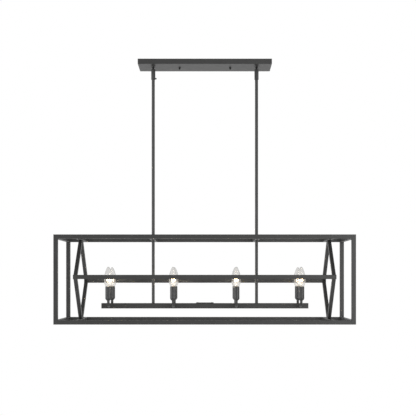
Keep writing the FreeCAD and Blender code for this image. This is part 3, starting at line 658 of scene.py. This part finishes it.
def screw_base(axis):
    """Builder of a rolled screw shell with its rim, black insulator and solder contact."""
    thread_foot = BASE_FOOT + CONTACT_HEIGHT + INSULATOR_HEIGHT
    rim_foot = GLASS_FOOT - RIM_HEIGHT
    root = THREAD_CREST - THREAD_DEPTH

    def build(made):
        thread(made, axis, thread_foot, rim_foot, root, THREAD_DEPTH, THREAD_PITCH,
               (rim_foot - thread_foot) * THREAD_FADE)
        flat = RIM_RADIUS - RIM_ROUND
        rim = ([(root, rim_foot)] + arc(flat, rim_foot + RIM_ROUND, RIM_ROUND, -math.pi / 2, 0, ARC_STEPS)
               + arc(flat, GLASS_FOOT - RIM_ROUND, RIM_ROUND, 0, math.pi / 2, ARC_STEPS)
               + [(0, GLASS_FOOT)])
        lathe(made, rim, axis, THREAD_SEGMENTS)
        insulator_foot = thread_foot - INSULATOR_HEIGHT
        insulator = [(root * across, insulator_foot + INSULATOR_HEIGHT * up) for across, up in INSULATOR_SIDE]
        lathe(made, insulator, axis, THREAD_SEGMENTS, slot=1)
        dome = [(CONTACT_RADIUS * math.cos(turn), insulator_foot - CONTACT_HEIGHT * math.sin(turn))
                for turn in CONTACT_TURNS]
        contact = [(CONTACT_RADIUS, insulator_foot + CONTACT_SUNK)] + dome
        lathe(made, contact + [(0, insulator_foot - CONTACT_HEIGHT)], axis, THREAD_SEGMENTS, slot=2)
    return build


BELLY_RISE = 23.6 * MM        # sleeve top to the bulb's widest place
TIP_RADIUS = 5.0 * MM
MOUTH_RADIUS = 9.3 * MM       # glass where it leaves the sleeve
NECK_RADIUS = 6.6 * MM        # glass at the screw base
NECK_ROUND = 0.4 * MM
WALL = 0.6 * MM
GLASS_STEPS = 22
TIP_STEPS = 8
GLASS_SEGMENTS = 56


def envelope_side(inset):
    """(radius, height) pairs up the torpedo's outside, drawn in by inset."""
    belly = SLEEVE_TOP + BELLY_RISE
    swell = GLASS_RADIUS - MOUTH_RADIUS
    lower = (swell ** 2 + BELLY_RISE ** 2) / (2 * swell)
    upper = BULB_TIP - TIP_RADIUS - belly
    side = (GLASS_RADIUS ** 2 + upper ** 2 - TIP_RADIUS ** 2) / (2 * (GLASS_RADIUS - TIP_RADIUS))
    shoulder = math.atan2(upper, side - GLASS_RADIUS)
    mouth = -math.asin(BELLY_RISE / lower)
    return (arc(GLASS_RADIUS - lower, belly, lower - inset, mouth, 0, GLASS_STEPS)
            + arc(GLASS_RADIUS - side, belly, side - inset, 0, shoulder, GLASS_STEPS)[1:]
            + arc(0, BULB_TIP - TIP_RADIUS, TIP_RADIUS - inset, shoulder, math.pi / 2, TIP_STEPS)[1:-1]
            + [(0, BULB_TIP - inset)])


def envelope(axis):
    """Builder of the thin glass torpedo, outside and inside."""
    neck = [(NECK_RADIUS - NECK_ROUND, GLASS_FOOT), (NECK_RADIUS, GLASS_FOOT + NECK_ROUND)]

    def build(made):
        outside = [(0, GLASS_FOOT)] + neck + envelope_side(0)
        inside = ([(0, GLASS_FOOT + WALL), (NECK_RADIUS - 2 * WALL, GLASS_FOOT + WALL),
                   (NECK_RADIUS - WALL, GLASS_FOOT + 1.6 * WALL)] + envelope_side(WALL))
        lathe(made, outside, axis, GLASS_SEGMENTS)
        lathe(made, inside[::-1], axis, GLASS_SEGMENTS)
    return build


MOUNT_TOP = SLEEVE_TOP + 16 * MM
MOUNT_RADIUS = 2.0 * MM
PRESS_LENGTH = 6 * MM
PRESS_EASE = 0.4 * PRESS_LENGTH           # run from round to flat
PRESS_THINNING = 0.45                     # share of its thickness that the press loses
PRESS_RADIUS = 1.1 * MOUNT_RADIUS
STEM_FOOT = GLASS_FOOT + 2 * WALL
STEM_FLARE = ((0.0, 0.0), (4.9, 0.0), (5.0, 0.6), (3.6, 2.0), (2.6, 4.0), (2.0, 7.0))   # radius, rise in mm
STEM_SEGMENTS = 32


def glass_stem(axis):
    """Builder of the glass stem: a flare at the neck, a narrow tube and a flattened press."""
    press = MOUNT_TOP - PRESS_LENGTH
    profile = [(radius * MM, STEM_FOOT + rise * MM) for radius, rise in STEM_FLARE]
    profile += [(MOUNT_RADIUS, press), (PRESS_RADIUS, press + 0.3 * PRESS_LENGTH),
                (PRESS_RADIUS, MOUNT_TOP - 0.8 * MM), (0.7 * MOUNT_RADIUS, MOUNT_TOP),
                (0, MOUNT_TOP + 0.3 * MM)]

    def build(made):
        lathe(made, profile, axis, STEM_SEGMENTS)
        for vert in made.verts:
            flat = min(1.0, max(0.0, (vert.co.z - press) / PRESS_EASE))
            vert.co.y = axis.y + (vert.co.y - axis.y) * (1 - PRESS_THINNING * flat)
    return build


FILAMENT_Z = SLEEVE_TOP + 24 * MM
HOOKS = 11
HOOK_SWEEP = 320              # degrees round the stem, from the first hook to the last
RING = 5.6 * MM               # radius of the filament's zigzag
SWING = 4.4 * MM              # hooks above and below its mid-height
FILAMENT_STEPS = 26           # points from hook to hook
COIL_RADIUS = 0.36 * MM
COIL_TURN = math.pi / 3       # turn of the coil from point to point
WIRE_RADIUS = 0.15 * MM
LEAD_RADIUS = 0.22 * MM
HOOK_RADIUS = 0.10 * MM
HOOK_STEPS = 5
ELBOW_REACH = 0.75            # bend of a hook's wire, as a share of the ring's radius
ELBOW_RISE = 0.5 * MM


def hook_point(axis, k, reach=1.0):
    """Place of hook k, alternately high and low round the stem."""
    turn = math.radians(HOOK_SWEEP * (k / (HOOKS - 1) - 0.5))
    rise = SWING if k % 2 else -SWING
    return Vector((axis.x + reach * RING * math.cos(turn), axis.y + reach * RING * math.sin(turn),
                   FILAMENT_Z + rise))


def filament(axis):
    """Builder of a coiled filament that zigzags over its hooks."""
    def build(made):
        line = smooth_points([hook_point(axis, k) for k in range(HOOKS)], FILAMENT_STEPS)
        coil = []
        for i, point in enumerate(line):
            ahead = (line[min(i + 1, len(line) - 1)] - line[max(i - 1, 0)]).normalized()
            side = ahead.orthogonal().normalized()
            third = ahead.cross(side)
            turn = i * COIL_TURN
            coil.append(point + (side * math.cos(turn) + third * math.sin(turn)) * COIL_RADIUS)
        tube_along(made, coil, WIRE_RADIUS)
    return build


def hooks(axis):
    """Builder of the two lead wires and the hooks that hold the filament, from the top of the press."""
    def build(made):
        top = Vector((axis.x, axis.y, MOUNT_TOP - 1 * MM))
        for k in range(HOOKS):
            end = hook_point(axis, k)
            elbow = (top + hook_point(axis, k, ELBOW_REACH)) / 2 + Z * ELBOW_RISE
            radius = LEAD_RADIUS if k in (0, HOOKS - 1) else HOOK_RADIUS
            tube_along(made, smooth_points([top, elbow, end], HOOK_STEPS), radius)
    return build


BULB_POWER = 0.08
BULB_COLOUR = (1.0, 0.86, 0.68)


def bulb_light(name, place, body):
    """Weak warm light at a filament, for what stands round the bulb; not itself seen."""
    data = bpy.data.lights.new(name, "POINT")
    data.shadow_soft_size = RING
    data.energy = BULB_POWER
    data.color = BULB_COLOUR
    shown = bpy.data.objects.new(name, data)
    shown.location = place
    shown.visible_camera = False
    shown.visible_transmission = False
    bpy.context.scene.collection.objects.link(shown)
    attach(shown, body)


for bulb in BULBS:
    axis, end = bulb_axis[bulb], "_%s_%d" % bulb
    glass_node, base_node = f"bulb{end}_glass", f"bulb{end}_base"
    glass = piece("envelope" + end, envelope(axis), [envelope_glass], glass_node, glass_node,
                  hollow=True)
    glass.visible_shadow = False
    piece("glass_stem" + end, glass_stem(axis), [stem_glass], glass_node)
    piece("filament" + end, filament(axis), [filament_glow], glass_node)
    piece("filament_hooks" + end, hooks(axis), [nickel], glass_node)
    bulb_light("light" + end, Vector((axis.x, axis.y, FILAMENT_Z)), glass_node)
    piece("screw_base" + end, screw_base(axis), [nickel, vitrite, solder], base_node, base_node)


# ------------------------------------------------------------------ surroundings, light and camera
FLOOR_Z = -4.6                # low enough for a view of the lamp from below
FLOOR_RADIUS = 12.0
FLOOR_SEGMENTS = 180
FLOOR_GREY = 0.9
FLOOR_DARKER = 0.985          # share of that brightness in its faint mottling


def pale_floor():
    """Matt pale material with faint mottling."""
    made, tree, shader = material("pale_floor")
    mottling = object_noise(tree, 2.0, 2.0)
    greys = [(FLOOR_GREY * share,) * 3 for share in (FLOOR_DARKER, 1.0)]
    tree.links.new(ramp(tree, mottling, NOISE_LOW, NOISE_HIGH, greys), shader.inputs["Base Color"])
    shader.inputs["Roughness"].default_value = 0.9
    return made


def floor_disc(made):
    """Round floor under the lamp."""
    lathe(made, [(0, FLOOR_Z), (FLOOR_RADIUS, FLOOR_Z)], Vector(), FLOOR_SEGMENTS)


piece("floor", floor_disc, [pale_floor()])

# Brightness of the studio in reflections, by compass direction: from behind the object by the left,
# the front and the right to behind it again, and by steepness from level to straight up or down.
AROUND = (0.64, 0.66, 0.95, 1.45, 1.75, 1.75, 0.95, 0.40, 0.90,
          1.25, 1.45, 1.45, 1.20, 0.90, 0.70, 0.64, 0.64)
STEEP = (1.0, 0.85, 0.45, 0.15)
BRIGHTEST = 2.0               # brightness that stands at the top of a ramp


def grey(values):
    """Grey ramp colours for brightnesses."""
    return [(value / BRIGHTEST,) * 3 for value in values]


def studio():
    """White world with soft boxes and darker places between them in its reflections."""
    world = bpy.data.worlds.new("studio")
    bpy.context.scene.world = world
    world.use_nodes = True
    sky = world.node_tree
    sky.nodes.clear()
    direction = node(sky, "ShaderNodeTexCoord")
    parts = node(sky, "ShaderNodeSeparateXYZ")
    sky.links.new(direction.outputs["Generated"], parts.inputs["Vector"])
    front = node(sky, "ShaderNodeMath", operation="MULTIPLY")
    front.inputs[1].default_value = -1.0
    sky.links.new(parts.outputs["Y"], front.inputs[0])
    compass = node(sky, "ShaderNodeMath", operation="ARCTAN2")
    sky.links.new(parts.outputs["X"], compass.inputs[0])
    sky.links.new(front.outputs["Value"], compass.inputs[1])
    turned = spread(sky, compass.outputs["Value"], 0.0, 1.0, -math.pi, math.pi)
    around = ramp(sky, turned, 0.0, 1.0, grey(AROUND))
    height = node(sky, "ShaderNodeMath", operation="ABSOLUTE")
    sky.links.new(parts.outputs["Z"], height.inputs[0])
    steep = ramp(sky, height.outputs["Value"], 0.0, 1.0, grey(STEEP))
    both = node(sky, "ShaderNodeVectorMath", operation="MULTIPLY")
    sky.links.new(around, both.inputs[0])
    sky.links.new(steep, both.inputs[1])
    mirrored = node(sky, "ShaderNodeBackground", Strength=BRIGHTEST ** 2)
    sky.links.new(both.outputs["Vector"], mirrored.inputs["Color"])
    white = node(sky, "ShaderNodeBackground", Color=(1, 1, 1, 1), Strength=1.0)
    rays = node(sky, "ShaderNodeLightPath")
    chosen = node(sky, "ShaderNodeMixShader")
    sky.links.new(rays.outputs["Is Glossy Ray"], chosen.inputs["Fac"])
    sky.links.new(white.outputs["Background"], chosen.inputs[1])
    sky.links.new(mirrored.outputs["Background"], chosen.inputs[2])
    out = node(sky, "ShaderNodeOutputWorld")
    sky.links.new(chosen.outputs["Shader"], out.inputs["Surface"])


def area_light(name, place, aim, size, power):
    """Soft box that looks at a point."""
    data = bpy.data.lights.new(name, "AREA")
    data.shape = "RECTANGLE"
    data.size, data.size_y = size
    data.energy = power
    shown = bpy.data.objects.new(name, data)
    shown.location = place
    shown.rotation_euler = (Vector(aim) - Vector(place)).to_track_quat("-Z", "Y").to_euler()
    bpy.context.scene.collection.objects.link(shown)


CAMERA_PLACE = (0.0155, -3.385, -0.802)
CAMERA_LENS = 79.4            # mm, on a sensor 36 mm wide
CAMERA_SHIFT = (-0.0026, 0.173)


def level_camera():
    """Level camera at the cage's mid-height; its shift brings the whole lamp into the frame."""
    data = bpy.data.cameras.new("camera")
    data.lens = CAMERA_LENS
    data.sensor_width = 36
    data.shift_x, data.shift_y = CAMERA_SHIFT
    data.clip_start = 0.05
    data.clip_end = 60
    shown = bpy.data.objects.new("camera", data)
    shown.location = CAMERA_PLACE
    shown.rotation_euler = (math.pi / 2, 0, 0)
    bpy.context.scene.collection.objects.link(shown)
    bpy.context.scene.camera = shown


LAMP_MIDDLE = (0, 0, -0.8)

studio()
area_light("left_box", (-2.6, -2.0, -0.6), LAMP_MIDDLE, (2.0, 2.4), 34)
area_light("right_box", (1.74, -2.68, -0.6), LAMP_MIDDLE, (1.8, 2.4), 22)
level_camera()
bpy.context.scene.view_settings.view_transform = "Standard"
